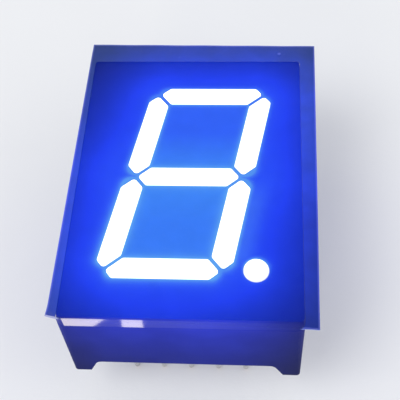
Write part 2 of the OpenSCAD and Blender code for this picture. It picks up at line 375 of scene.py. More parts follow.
@dataclass(frozen=True)
class EffectGroup:
    """A shader node group with named number inputs and outputs."""

    effect: Effect
    inputs: tuple[tuple[str, float], ...]
    outputs: tuple[str, ...]

    def open(self) -> tuple[Shader, Outputs]:
        """Makes the empty group.

        Returns:
            The shader that fills it, and the group's own inputs.
        """
        group = bpy.data.node_groups.new(self.effect.value, "ShaderNodeTree")
        for name, value in self.inputs:
            socket = group.interface.new_socket(name=name, in_out="INPUT", socket_type="NodeSocketFloat")
            socket.default_value = value
        for name in self.outputs:
            group.interface.new_socket(name=name, in_out="OUTPUT", socket_type="NodeSocketFloat")
        shader = Shader(group)
        return shader, shader.add("NodeGroupInput").outputs

    def close(self, shader: Shader, *results: Value) -> None:
        """Joins the results to the group's outputs.

        Args:
            shader: The shader that filled the group.
            *results: The results, in the order of the outputs.
        """
        end = shader.add("NodeGroupOutput")
        for socket, result in zip(end.inputs, results):
            shader.feed(socket, result)


@dataclass(frozen=True)
class Effects:
    """Builds the node groups that the finishes share."""

    digit: Digit
    far_mm: float = 100.0
    speck_from: float = 0.55
    scuff_run: Triple = (0.3, 6.0, 2.0)
    scuff_contrast: float = 40.0
    scuff_patches: float = 0.35
    scuff_patch_edge: Span = (0.5, 0.7)

    def build(self) -> None:
        """Builds each group once."""
        self.glow()
        self.grain()
        self.dust()
        self.scuffs()

    def glow(self) -> None:
        """Light of the digit, the way to its edges, 1 in its loops, and the way aside from its middle."""
        group = EffectGroup(Effect.GLOW, (("Reach", 4.0),), ("Light", "Edge", "Loops", "Aside"))
        shader, given = group.open()
        digit, flat = self.digit, shader.flat_place()
        shapes = [(shader.from_line(flat, *bar), digit.bar_mm / 2, 1.0, 1.0) for bar in digit.bars()]
        dot_way = shader.from_point(flat, digit.dot())
        shapes.append((dot_way, digit.dot_mm / 2, digit.dot_share, digit.dot_narrowing))
        light, edge = 0.0, self.far_mm
        for way, half, strength, narrowing in shapes:
            gap = shader.math("SUBTRACT", way, half)
            share = shader.math("DIVIDE", shader.highest(gap, 0.0), given["Reach"])
            fall = shader.math("EXPONENT", shader.product(share, -1.0))
            light = shader.math("MULTIPLY_ADD", fall, strength, light)
            edge = shader.math("MINIMUM", edge, shader.product(gap, narrowing))
        x, y, _ = shader.axes(flat)
        aside = shader.math("MULTIPLY_ADD", y, -digit.slope(), x)
        within = shader.math("LESS_THAN", shader.math("ABSOLUTE", aside), digit.width_mm / 2 - digit.bar_mm)
        below = shader.math("LESS_THAN", shader.math("ABSOLUTE", y), digit.height_mm / 2 - digit.bar_mm)
        group.close(shader, light, edge, shader.product(within, below), aside)

    def grain(self) -> None:
        """Fine grain of a moulded or cast surface, and its slow change of tone."""
        group = EffectGroup(Effect.GRAIN, (("Fine", 9.0), ("Slow", 0.4)), ("Height", "Tone"))
        shader, given = group.open()
        group.close(shader, shader.noise(given["Fine"], detail=4), shader.noise(given["Slow"], detail=2))

    def dust(self) -> None:
        """Sparse specks of dust, 1 on a speck."""
        group = EffectGroup(Effect.DUST, (("Density", 1.0), ("Size", 0.06)), ("Mask",))
        shader, given = group.open()
        cells = shader.add("ShaderNodeTexVoronoi")
        shader.feed(cells.inputs["Vector"], shader.place())
        shader.feed(cells.inputs["Scale"], given["Density"])
        near = shader.math("LESS_THAN", cells.outputs["Distance"], given["Size"])
        chosen = shader.math("GREATER_THAN", shader.axes(cells.outputs["Color"])[0], self.speck_from)
        group.close(shader, shader.product(near, chosen))

    def scuffs(self) -> None:
        """Faint long scuffs, 1 in the middle of a scuff."""
        group = EffectGroup(Effect.SCUFF, (("Width", 1.0), ("Amount", 0.5)), ("Mask",))
        shader, given = group.open()
        lines = shader.noise(given["Width"], detail=2, stretch=self.scuff_run)
        off_line = shader.math("ABSOLUTE", shader.math("SUBTRACT", lines, 0.5))
        near = shader.math("SUBTRACT", 1.0, shader.product(off_line, self.scuff_contrast), clamp=True)
        patch = shader.blend(shader.noise(self.scuff_patches, detail=1), *self.scuff_patch_edge)
        group.close(shader, shader.product(near, patch, given["Amount"]))


@dataclass(frozen=True)
class Finish:
    """A surface that a material is made from. Each kind fills in its own looks."""

    name: str
    specular: float = 0.5
    emission: float = 0.0
    roughness: Span = (0.3, 0.5)
    noise_span: Span = NOISE_SPAN
    relief_mm: float = 0.004

    def material(self) -> bpy.types.Material:
        """Makes the material.

        Returns:
            The material, ready to go on a piece.
        """
        made = bpy.data.materials.new(self.name)
        made.use_nodes = True
        made.node_tree.nodes.clear()
        shader = Shader(made.node_tree)
        surface = shader.add("ShaderNodeBsdfPrincipled")
        end = shader.add("ShaderNodeOutputMaterial")
        shader.feed(end.inputs["Surface"], surface.outputs[0])
        looks = {"Specular IOR Level": self.specular, "Emission Strength": self.emission}
        for name, value in (looks | self.looks(shader)).items():
            shader.feed(surface.inputs[name], value)
        return made

    def looks(self, shader: Shader) -> Looks:
        """Gives what feeds the surface shader."""
        raise NotImplementedError

    def grained(self, shader: Shader, noise: Value, height: Value | None = None) -> Looks:
        """Gives the surface its roughness and its relief.

        Args:
            shader: The material's shader.
            noise: The noise that varies the roughness.
            height: The height of the relief, where it isn't the noise itself.

        Returns:
            What feeds the two inputs, by their names.
        """
        node = shader.add("ShaderNodeBump")
        node.inputs["Strength"].default_value = 1.0
        node.inputs["Distance"].default_value = self.relief_mm * MM
        shader.feed(node.inputs["Height"], noise if height is None else height)
        rough = shader.blend(noise, *self.noise_span, *self.roughness)
        return {"Roughness": rough, "Normal": node.outputs[0]}


@dataclass(frozen=True)
class InkFinish(Finish):
    """Dark ink on the front plate, with the light of the segments shining through it."""

    specular: float = 0.06
    emission: float = 1.0
    roughness: Span = (0.32, 0.46)
    dark: Colour = (0.002, 0.003, 0.006)
    pale: Colour = (0.004, 0.005, 0.010)
    dust_tone: Colour = (0.4, 0.42, 0.5)
    dust_share: float = 0.12
    mottle: Span = (0.97, 1.03)
    full_light: float = 2.2
    foot_light: float = 0.30
    foot_from_mm: Span = (-9.5, -11.0)
    foot_middle_mm: float = -2.0
    foot_width_mm: Span = (6.0, 1.0)
    stops: tuple[tuple[float, Colour], ...] = (
        (0.20, (0.001, 0.010, 0.24)),
        (0.42, (0.004, 0.025, 0.52)),
        (0.72, (0.010, 0.047, 0.92)),
        (1.00, (0.015, 0.067, 0.97)),
    )
    loop_half_mm: float = 8.0
    loop_stops: tuple[tuple[float, Colour], ...] = (
        (0.20, (0.038, 0.20, 0.965)),
        (0.50, (0.047, 0.25, 0.960)),
        (0.80, (0.026, 0.12, 0.965)),
    )
    halo: Colour = (0.120, 0.410, 0.920)
    halo_grows_mm: Span = (7.0, -5.0)
    halo_mm: Span = (0.15, 0.27)
    halo_brightens_mm: Span = (9.0, -6.0)
    halo_share: Span = (0.4, 0.9)
    loop_halo_share: float = 0.9
    corner_from_mm: Span = (-8.4, -9.3)
    corner_aside_mm: Span = (4.2, 5.2)
    corner_loss: float = 0.5
    spill_in_mm: Span = (5.3, 5.8)
    spill_out_mm: Span = (7.9, 5.5)
    spill_head_mm: Span = (0.8, -3.0)
    spill_foot_mm: Span = (-10.0, -7.5)
    spill_share: float = 0.25
    # Painted light: the ink round the lower edge of the decimal point glows white.
    dot_edge_glow_at_mm: Point = (5.96, -9.09)
    dot_edge_glow_mm: Span = (1.07, 1.01)

    def looks(self, shader: Shader) -> Looks:
        """Gives what feeds the surface shader.

        Args:
            shader: The material's shader.

        Returns:
            What feeds each input, by the input's name.
        """
        grain = shader.use(Effect.GRAIN, Fine=14.0, Slow=0.8)
        dust = shader.product(shader.use(Effect.DUST, Density=0.9, Size=0.03)["Mask"], self.dust_share)
        glow = shader.use(Effect.GLOW)
        across, height, _ = shader.axes(shader.place())
        through = self.through(shader, glow["Light"], across, height)
        loop_place = shader.math("MULTIPLY_ADD", height, 0.5 / self.loop_half_mm, 0.5)
        lit = shader.mix(glow["Loops"], through, shader.ramp(loop_place, self.loop_stops))
        lit = shader.mix(self.halo_mask(shader, glow, height), lit, self.halo)
        # Painted light: white glow on the ink at the decimal point's lower edge.
        dot_edge_glow = shader.blend(shader.from_point(shader.flat_place(), self.dot_edge_glow_at_mm), *self.dot_edge_glow_mm)
        lit = shader.mix(dot_edge_glow, lit, WHITE)
        return {
            "Base Color": shader.mix(dust, shader.mix(grain["Tone"], self.dark, self.pale), self.dust_tone),
            "Emission Color": shader.tint(lit, shader.vary(grain["Tone"], self.mottle)),
        } | self.grained(shader, grain["Height"])

    def through(self, shader: Shader, light: Value, across: Value, height: Value) -> Socket:
        """Gives the colour that shines through the ink outside the loops.

        Args:
            shader: The material's shader.
            light: The light that spreads from the digit.
            across: The place across.
            height: The place along the digit.

        Returns:
            The colour.
        """
        off_middle = shader.math("ABSOLUTE", shader.math("SUBTRACT", across, self.foot_middle_mm))
        foot = shader.product(shader.blend(height, *self.foot_from_mm),
                              shader.blend(off_middle, *self.foot_width_mm))
        light = shader.math("MULTIPLY_ADD", foot, self.foot_light, light)
        return shader.ramp(shader.math("DIVIDE", light, self.full_light), self.stops)

    def halo_mask(self, shader: Shader, glow: Outputs, height: Value) -> Socket:
        """Gives the share of the halo round the segments and of the spill beside one.

        Args:
            shader: The material's shader.
            glow: The outputs of the segments' glow.
            height: The place along the digit.

        Returns:
            The share, from 0 to 1.
        """
        width = shader.blend(height, *self.halo_grows_mm, *self.halo_mm)
        way = shader.product(glow["Edge"], -1.0)
        fall = shader.math("EXPONENT", shader.math("DIVIDE", way, width), clamp=True)
        share = shader.blend(height, *self.halo_brightens_mm, *self.halo_share)
        share = shader.highest(shader.product(glow["Loops"], self.loop_halo_share), share)
        aside = shader.blend(shader.math("ABSOLUTE", glow["Aside"]), *self.corner_aside_mm)
        loss = shader.product(aside, shader.blend(height, *self.corner_from_mm, 0.0, self.corner_loss))
        spill = shader.product(
            shader.blend(glow["Aside"], *self.spill_in_mm),
            shader.blend(glow["Aside"], *self.spill_out_mm),
            shader.blend(height, *self.spill_head_mm, 0.0, self.spill_share),
            shader.blend(height, *self.spill_foot_mm))
        return shader.highest(shader.product(fall, share, shader.math("SUBTRACT", 1.0, loss)), spill)


@dataclass(frozen=True)
class HousingFinish(Finish):
    """Moulded plastic that carries the blue light of the wells to its outer walls, with near-black base
    colours that are painted shade for the dim light on its walls.
    """

    specular: float = 0.03
    emission: float = 1.0
    roughness: Span = (0.40, 0.55)
    relief_mm: float = 0.006
    # Painted shade: the base colours are kept near black for the dim light on the walls; the plastic itself
    # is paler.
    dark: Colour = (0.004, 0.005, 0.012)
    pale: Colour = (0.007, 0.009, 0.020)
    worn: Colour = (0.04, 0.045, 0.08)
    worn_share: float = 0.2
    scuff_depth: float = 0.4
    leak: Colour = (0.020, 0.036, 0.590)
    leak_limit: float = 1.2
    leak_power: float = 1.5
    flow: Span = (0.92, 1.08)
    tooth: Span = (0.97, 1.03)
    tooth_noise: Span = (0.25, 0.75)
    top_mm: float = 9.7
    fade_mm: float = 8.2
    smooth_to_mm: Span = (0.58, 0.66)
    smooth_share: Span = (0.02, 1.0)
    coat_down_mm: Span = (0.65, 0.59)
    coat_along_mm: Span = (-13.53, -13.59)
    coat_across_mm: Span = (-1.0, 9.0)
    coat: Span = (1.0, 0.25)
    coat_roughness: float = 0.03

    def looks(self, shader: Shader) -> Looks:
        """Gives what feeds the surface shader.

        Args:
            shader: The material's shader.

        Returns:
            What feeds each input, by the input's name.
        """
        grain = shader.use(Effect.GRAIN, Fine=7.0, Slow=0.35)
        scuff = shader.use(Effect.SCUFF, Width=1.6, Amount=0.5)["Mask"]
        # Painted shade: the walls' base colour, kept near black for their dim light.
        plastic = shader.mix(grain["Tone"], self.dark, self.pale)
        x, y, z = shader.axes(shader.place())
        depth = shader.math("SUBTRACT", self.top_mm, z)
        height = shader.product(grain["Height"], shader.blend(depth, *self.smooth_to_mm, *self.smooth_share))
        height = shader.math("SUBTRACT", height, shader.product(scuff, self.scuff_depth))
        return {
            "Base Color": shader.mix(shader.product(scuff, self.worn_share), plastic, self.worn),
            "Emission Color": shader.tint(self.leak, self.leak_strength(shader, grain, depth)),
            "Coat Weight": shader.product(
                shader.blend(depth, *self.coat_down_mm),
                shader.blend(y, *self.coat_along_mm),
                shader.blend(x, *self.coat_across_mm, *self.coat)),
            "Coat Roughness": self.coat_roughness,
        } | self.grained(shader, grain["Height"], height)

    def leak_strength(self, shader: Shader, grain: Outputs, depth: Value) -> Socket:
        """Gives how strongly the light of the wells shows in the plastic.

        Args:
            shader: The material's shader.
            grain: The outputs of the grain.
            depth: The way down from the front.

        Returns:
            The strength.
        """
        fade = shader.math("EXPONENT", shader.math("DIVIDE", depth, -self.fade_mm))
        near = shader.math("MINIMUM", shader.use(Effect.GLOW)["Light"], self.leak_limit)
        near = shader.math("POWER", near, self.leak_power)
        tooth = shader.blend(grain["Height"], *self.tooth_noise, *self.tooth)
        return shader.product(fade, near, shader.vary(grain["Tone"], self.flow), tooth)


@dataclass(frozen=True)
class SegmentFinish(Finish):
    """Diffusing resin, lit from behind so that it is white to its edge."""

    emission: float = 1.25
    roughness: Span = (0.25, 0.4)
    resin: Colour = (0.80, 0.86, 0.95)
    pale: Colour = (0.88, 0.92, 0.98)
    rim: Colour = (0.50, 0.72, 0.94)
    rim_mm: Span = (-0.14, 0.0)
    cloud: Span = (0.94, 1.0)

    def looks(self, shader: Shader) -> Looks:
        """Gives what feeds the surface shader.

        Args:
            shader: The material's shader.

        Returns:
            What feeds each input, by the input's name.
        """
        grain = shader.use(Effect.GRAIN, Fine=12.0, Slow=0.9)
        lit = shader.mix(shader.blend(shader.use(Effect.GLOW)["Edge"], *self.rim_mm), WHITE, self.rim)
        return {
            "Base Color": shader.mix(grain["Tone"], self.resin, self.pale),
            "Emission Color": shader.tint(lit, shader.vary(grain["Tone"], self.cloud)),
        } | self.grained(shader, grain["Height"])


@dataclass(frozen=True)
class FilmFinish(Finish):
    """Clear film: hardly seen where it clings, hazy and lit from its side where it stands free."""

    specular: float = 0.12
    emission: float = 1.0
    roughness: Span = (0.10, 0.22)
    cut: FilmCut = FilmCut()
    free: Colour = (0.010, 0.028, 0.014)
    side_light: Colour = (0.010, 0.032, 0.580)
    rim_light: Colour = (0.20, 0.25, 0.70)
    # Painted highlight: colour of the bright line along the lifted foot edge.
    lifted_edge_light: Colour = (0.38, 0.38, 0.68)
    border_light: Colour = (0.060, 0.066, 0.200)
    dust_tone: Colour = (0.10, 0.12, 0.30)
    cloud: Span = (0.88, 1.12)
    clear: float = 0.03
    hazy: float = 0.87
    half_width_mm: float = 9.725
    middle_mm: float = 0.035
    top_mm: float = 13.37
    foot_mm: float = -14.02
    corner_grows_mm: Span = (5.0, -5.0)
    corner_mm: Span = (0.35, 0.50)
    haze_edge_mm: Span = (-0.02, 0.04)
    laid_mm: float = 9.82
    lifted_mm: float = 9.95
    # Painted highlight: the span, in from the foot edge, of the bright line where the film is lifted.
    lifted_highlight_mm: Span = (0.22, 0.14)
    rise_share: float = 0.36
    border_mm: Span = (0.16, 0.08)
    rim_lean: Span = (0.7, 0.3)
    shade_across_mm: Span = (6.0, 9.5)
    shade_along_mm: Span = (6.0, -5.0)
    shade_haze: float = 0.06
    shade_loss: float = 0.6
    speck_at_mm: Point = (7.85, 14.34)
    speck_mm: Span = (0.24, 0.04)
    speck_share: float = 0.6
    speck_light: float = 0.12
    dust_share: float = 0.5
    mark_cover: float = 0.4
    crease_at_mm: tuple[Point, Point] = ((-8.50, 13.10), (-8.80, 11.70))
    crease_mm: Span = (0.22, 0.0)
    worn_haze: float = 0.05

    def past_face(self, shader: Shader, x: Value, y: Value, height: Value) -> Socket:
        """Gives the way past the edge of the face, in millimetres.

        Standing film counts as further out, by a share of its height that was chosen for the
        photograph's angle. The share is the same in every view.

        Args:
            shader: The material's shader.
            x: The place across.
            y: The place along.
            height: How far the film stands up.

        Returns:
            The way, negative over the face.
        """
        middle, half = (self.top_mm + self.foot_mm) / 2, (self.top_mm - self.foot_mm) / 2
        radius = shader.blend(y, *self.corner_grows_mm, *self.corner_mm)
        across = shader.math("ABSOLUTE", shader.math("SUBTRACT", x, self.middle_mm))
        across = shader.math("MULTIPLY_ADD", height, self.rise_share, across)
        along = shader.math("ABSOLUTE", shader.math("SUBTRACT", y, middle))
        corner = shader.add("ShaderNodeCombineXYZ")
        for socket, way, limit in zip(corner.inputs, (across, along), (self.half_width_mm, half)):
            way = shader.math("ADD", shader.math("SUBTRACT", way, limit), radius)
            shader.feed(socket, shader.highest(way, 0.0))
        return shader.math("SUBTRACT", shader.vector("LENGTH", corner.outputs[0]), radius)

    def from_border(self, shader: Shader, x: Value, y: Value) -> tuple[Socket, Socket]:
        """Gives the ways in from the film's own edges, in millimetres.

        Args:
            shader: The material's shader.
            x: The place across.
            y: The place along.

        Returns:
            The way to the nearest edge, and the way to the edge at the foot.
        """
        cosine, sine = self.cut.turn()
        x, y = (shader.math("SUBTRACT", way, shift) for way, shift in zip((x, y), self.cut.shift_mm))
        u = shader.math("MULTIPLY_ADD", x, cosine, shader.product(y, sine))
        v = shader.math("MULTIPLY_ADD", y, cosine, shader.product(x, -sine))
        halves = [size / 2 for size in self.cut.size_mm]
        ways = [shader.math("SUBTRACT", half, shader.math("ABSOLUTE", w)) for half, w in zip(halves, (u, v))]
        return shader.math("MINIMUM", *ways), shader.math("ADD", v, halves[1])

    def shine(self, shader: Shader, tone: Value, edge_way: Value, speck: Value) -> Socket:
        """Gives the light in the flat of the film, with its border and its speck.

        Args:
            shader: The material's shader.
            tone: The slow change of tone.
            edge_way: The way to the nearest edge.
            speck: The speck's mask.

        Returns:
            The colour.
        """
        light = shader.product(shader.use(Effect.GLOW)["Light"], shader.vary(tone, self.cloud))
        side = shader.tint(self.side_light, light)
        border = shader.tint(self.border_light, shader.blend(edge_way, *self.border_mm))
        # Painted highlight: the dust speck glows in the dust's colour.
        speck_glint = shader.tint(self.dust_tone, shader.product(speck, self.speck_light))
        return shader.vector("ADD", shader.vector("ADD", side, border), speck_glint)

    def looks(self, shader: Shader) -> Looks:
        """Gives what feeds the surface shader.

        Args:
            shader: The material's shader.

        Returns:
            What feeds each input, by the input's name.
        """
        grain = shader.use(Effect.GRAIN, Fine=3.0, Slow=0.5)
        scuff = shader.use(Effect.SCUFF, Width=1.2, Amount=0.7)["Mask"]
        dust = shader.use(Effect.DUST, Density=0.8, Size=0.035)["Mask"]
        x, y, z = shader.axes(shader.place())
        flat = shader.flat_place()
        height = shader.highest(shader.math("SUBTRACT", z, self.laid_mm), 0.0)
        outside = shader.blend(self.past_face(shader, x, y, height), *self.haze_edge_mm)
        nearest_edge, foot_edge = self.from_border(shader, x, y)
        # Painted highlight: a bright, nearly opaque line along the lifted part of the foot edge.
        lifted_edge_highlight = shader.product(shader.blend(foot_edge, *self.lifted_highlight_mm),
                                shader.blend(z, self.laid_mm, self.lifted_mm))
        speck = shader.blend(shader.from_point(flat, self.speck_at_mm), *self.speck_mm)
        # The crease hazes the film, and its mask also carries a painted highlight along the crease.
        crease_and_glint = shader.blend(shader.from_line(flat, *self.crease_at_mm), *self.crease_mm)
        marks = shader.highest(shader.product(speck, self.speck_share), shader.product(dust, self.dust_share))
        shade = shader.product(shader.blend(x, *self.shade_across_mm), shader.blend(y, *self.shade_along_mm))
        haze = shader.math("MULTIPLY_ADD", shader.highest(scuff, crease_and_glint), self.worn_haze, outside)
        alpha = shader.math("MULTIPLY_ADD", haze, self.hazy - self.clear, self.clear)
        alpha = shader.math("ADD", alpha, lifted_edge_highlight)
        alpha = shader.math("MULTIPLY_ADD", shader.product(shade, outside), self.shade_haze, alpha)
        free = shader.tint(self.free, shader.math("MULTIPLY_ADD", shade, -self.shade_loss, 1.0))
        normal = shader.add("ShaderNodeNewGeometry").outputs["True Normal"]
        rim = shader.blend(shader.math("ABSOLUTE", shader.axes(normal)[2]), *self.rim_lean)
        glow = self.shine(shader, grain["Tone"], nearest_edge, speck)
        lit = shader.mix(lifted_edge_highlight, shader.mix(rim, glow, self.rim_light), self.lifted_edge_light)
        return {
            "Base Color": shader.mix(marks, free, self.dust_tone),
            "Alpha": shader.math("MULTIPLY_ADD", marks, self.mark_cover, alpha, clamp=True),
            # Painted highlight: besides the free film and the cut rim, the crease and the lifted edge line
            # glow here.
            "Emission Color": shader.tint(lit, shader.highest(outside, rim, crease_and_glint, lifted_edge_highlight)),
        } | self.grained(shader, grain["Height"], shader.math("ADD", grain["Height"], scuff))


@dataclass(frozen=True)
class BoardFinish(Finish):
    """Green lacquer over a glass weave, with bare gilt lands."""

    roughness: Span = (0.3, 0.45)
    relief_mm: float = 0.005
    lacquer: Colour = (0.012, 0.110, 0.040)
    weave: Colour = (0.030, 0.170, 0.070)
    gilt: Colour = (0.780, 0.560, 0.240)
    lands_from_mm: float = 4.42
    thread_mm: float = 0.45

    def looks(self, shader: Shader) -> Looks:
        """Gives what feeds the surface shader.

        Args:
            shader: The material's shader.

        Returns:
            What feeds each input, by the input's name.
        """
        grain = shader.use(Effect.GRAIN, Fine=8.0, Slow=0.5)
        x, y, z = shader.axes(shader.place())
        turn = 2 * math.pi / self.thread_mm
        warp, weft = (shader.math("SINE", shader.product(way, turn)) for way in (x, y))
        cloth = shader.blend(shader.product(warp, weft), -1.0, 1.0)
        land = shader.math("GREATER_THAN", z, self.lands_from_mm)
        green = shader.mix(shader.product(cloth, grain["Tone"]), self.lacquer, self.weave)
        return {
            "Base Color": shader.mix(land, green, self.gilt),
            "Metallic": land,
        } | self.grained(shader, grain["Height"], shader.math("ADD", cloth, grain["Height"]))


@dataclass(frozen=True)
class ResinFinish(Finish):
    """Milky cast resin with fine bubbles, tinted where the light comes through the board."""

    emission: float = 1.0
    roughness: Span = (0.16, 0.34)
    noise_span: Span = (0.3, 0.7)
    relief_mm: float = 0.02
    milky: Colour = (0.50, 0.50, 0.52)
    warm: Colour = (0.62, 0.60, 0.56)
    bubble: Colour = (0.8, 0.8, 0.8)
    bubble_share: float = 0.35
    bubble_depth: float = 0.6
    light: Colour = (0.004, 0.010, 0.060)
    light_reach_mm: float = 3.0

    def looks(self, shader: Shader) -> Looks:
        """Gives what feeds the surface shader.

        Args:
            shader: The material's shader.

        Returns:
            What feeds each input, by the input's name.
        """
        grain = shader.use(Effect.GRAIN, Fine=2.2, Slow=0.3)
        bubbles = shader.use(Effect.DUST, Density=1.5, Size=0.16)["Mask"]
        cast = shader.mix(shader.blend(grain["Tone"], *NARROW_NOISE_SPAN), self.milky, self.warm)
        light = shader.use(Effect.GLOW, Reach=self.light_reach_mm)["Light"]
        hollows = shader.product(bubbles, self.bubble_depth)
        return {
            "Base Color": shader.mix(shader.product(bubbles, self.bubble_share), cast, self.bubble),
            "Emission Color": shader.tint(self.light, light),
        } | self.grained(shader, grain["Height"], shader.math("SUBTRACT", grain["Height"], hollows))


@dataclass(frozen=True)
class MetalFinish(Finish):
    """Bare metal, drawn, cast or soldered."""

    roughness: Span = (0.16, 0.34)
    noise_span: Span = (0.25, 0.75)
    bright: Colour = (0.78, 0.77, 0.75)
    dull: Colour = (0.52, 0.52, 0.53)
    streaks: float = 7.0
    stretch: Triple = (1.0, 1.0, 0.15)
    cut_end: bool = False
    cut_mm: Span = (-4.7, -4.95)
    cut_tone: Colour = (0.55, 0.28, 0.16)
    cut_share: float = 0.8

    def looks(self, shader: Shader) -> Looks:
        """Gives what feeds the surface shader.

        Args:
            shader: The material's shader.

        Returns:
            What feeds each input, by the input's name.
        """
        grain = shader.use(Effect.GRAIN, Fine=6.0, Slow=1.2)
        streak = shader.noise(self.streaks, stretch=self.stretch)
        metal = shader.mix(shader.blend(grain["Tone"], *NARROW_NOISE_SPAN), self.bright, self.dull)
        if self.cut_end:
            tip = shader.blend(shader.axes(shader.place())[2], *self.cut_mm)
            metal = shader.mix(shader.product(tip, self.cut_share), metal, self.cut_tone)
        return {"Base Color": metal, "Metallic": 1.0} | self.grained(shader, streak)


@dataclass(frozen=True)
class ChipFinish(Finish):
    """Lit chip under the resin."""

    emission: float = 3.0
    roughness: Span = (0.08, 0.2)
    body: Colour = (0.20, 0.40, 0.80)
    pale: Colour = (0.45, 0.6, 0.9)
    lit: Colour = (0.20, 0.42, 1.00)
    cloud: Span = (0.8, 1.1)

    def looks(self, shader: Shader) -> Looks:
        """Gives what feeds the surface shader.

        Args:
            shader: The material's shader.

        Returns:
            What feeds each input, by the input's name.
        """
        grain = shader.use(Effect.GRAIN, Fine=20.0, Slow=3.0)
        return {
            "Base Color": shader.mix(grain["Tone"], self.body, self.pale),
            "Emission Color": shader.tint(self.lit, shader.vary(grain["Height"], self.cloud)),
            "Roughness": shader.vary(grain["Height"], self.roughness),
        }


@dataclass(frozen=True)
class FloorFinish(Finish):
    """Plain pale floor with a faint tooth."""

    specular: float = 0.1
    roughness: Span = (0.6, 0.75)
    relief_mm: float = 0.01
    pale: Colour = (0.80, 0.81, 0.83)
    paler: Colour = (0.84, 0.85, 0.87)

    def looks(self, shader: Shader) -> Looks:
        """Gives what feeds the surface shader.

        Args:
            shader: The material's shader.

        Returns:
            What feeds each input, by the input's name.
        """
        grain = shader.use(Effect.GRAIN, Fine=3.0, Slow=0.05)
        floor = shader.mix(grain["Tone"], self.pale, self.paler)
        return {"Base Color": floor} | self.grained(shader, grain["Height"])


def new_piece(name: str, points: np.ndarray, faces: Sequence[Sequence[int]],
              material: bpy.types.Material) -> bpy.types.Object:
    """Makes a smooth mesh and links it to the scene.

    Args:
        name: The piece's name.
        points: Its corners, one row each.
        faces: The corners of each face.
        material: Its material.

    Returns:
        The new object.
    """
    mesh = bpy.data.meshes.new(name)
    mesh.from_pydata([tuple(p) for p in points], [], [tuple(int(i) for i in f) for f in faces])
    mesh.validate()
    mesh.shade_smooth()
    mesh.materials.append(material)
    made = bpy.data.objects.new(name, mesh)
    bpy.context.scene.collection.objects.link(made)
    return made


def seat(piece: bpy.types.Object) -> None:
    """Rides a new piece on the one body and reports it.

    Args:
        piece: The new piece.
    """
    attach(piece, "root")
    LOG.info("%s: %d corners", piece.name, len(piece.data.vertices))


def dress_nodes(finish: Finish, *starts: str) -> bpy.types.Material:
    """Gives one finish to every frame node whose name starts so.

    Args:
        finish: The finish to make the material from.
        *starts: Beginnings of node names.

    Returns:
        The material.
    """
    material = finish.material()
    for name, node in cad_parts.items():
        if name.startswith(starts):
            node.data.materials.clear()
            node.data.materials.append(material)
            LOG.info("%s: %s", name, finish.name)
    return material


def band_faces(start: int, rows: int, turns: int) -> list[tuple[int, int, int, int]]:
    """Joins closed rows of points into a band.

    Args:
        start: The first point's number.
        rows: How many rows there are.
        turns: How many points a row has.

    Returns:
        The band's faces.
    """
    faces = []
    for row in range(rows - 1):
        a, b = start + row * turns, start + (row + 1) * turns
        faces += [(a + i, b + i, b + (i + 1) % turns, a + (i + 1) % turns) for i in range(turns)]
    return faces


def rising(values: np.ndarray, start: float, end: float) -> np.ndarray:
    """Gives 0 up to the start, 1 from the end on, and a straight rise between."""
    return np.clip((values - start) / (end - start), 0, 1)


@dataclass
class Housing:
    """The reflector housing with the ink on its face."""

    plastic: HousingFinish = HousingFinish("moulded housing")
    ink: InkFinish = InkFinish("face ink")

    def build(self) -> None:
        """Dresses the shell and its face."""
        dress_nodes(self.plastic, "reflector_housing")
        dress_nodes(self.ink, "face_print")


@dataclass
class LightSource:
    """The board with its chips and wires, and the castings over them."""

    board: BoardFinish = BoardFinish("lacquered board")
    chip: ChipFinish = ChipFinish("lit chip")
    wire: MetalFinish = MetalFinish("gold wire", bright=(0.95, 0.72, 0.32), dull=(0.85, 0.60, 0.25))
    resin: SegmentFinish = SegmentFinish("lit resin")

    def build(self) -> None:
        """Dresses the board, the chips, the wires and the segments."""
        dress_nodes(self.board, "circuit_board")
        dress_nodes(self.chip, "led_chip")
        dress_nodes(self.wire, "bond_wires")
        dress_nodes(self.resin, "segment", "decimal_point")


@dataclass
class PinSet:
    """The ten pins, with their solder."""

    tinned: MetalFinish = MetalFinish("tinned pin", stretch=(1.0, 1.0, 0.08), relief_mm=0.0012, cut_end=True)
    solder: MetalFinish = MetalFinish("solder", dull=(0.60, 0.60, 0.62), roughness=(0.2, 0.45),
                                      stretch=(1.0, 1.0, 1.0), relief_mm=0.02)

    def build(self) -> None:
        """Dresses the pins and the solder."""
        dress_nodes(self.tinned, "pin_")
        dress_nodes(self.solder, "solder")


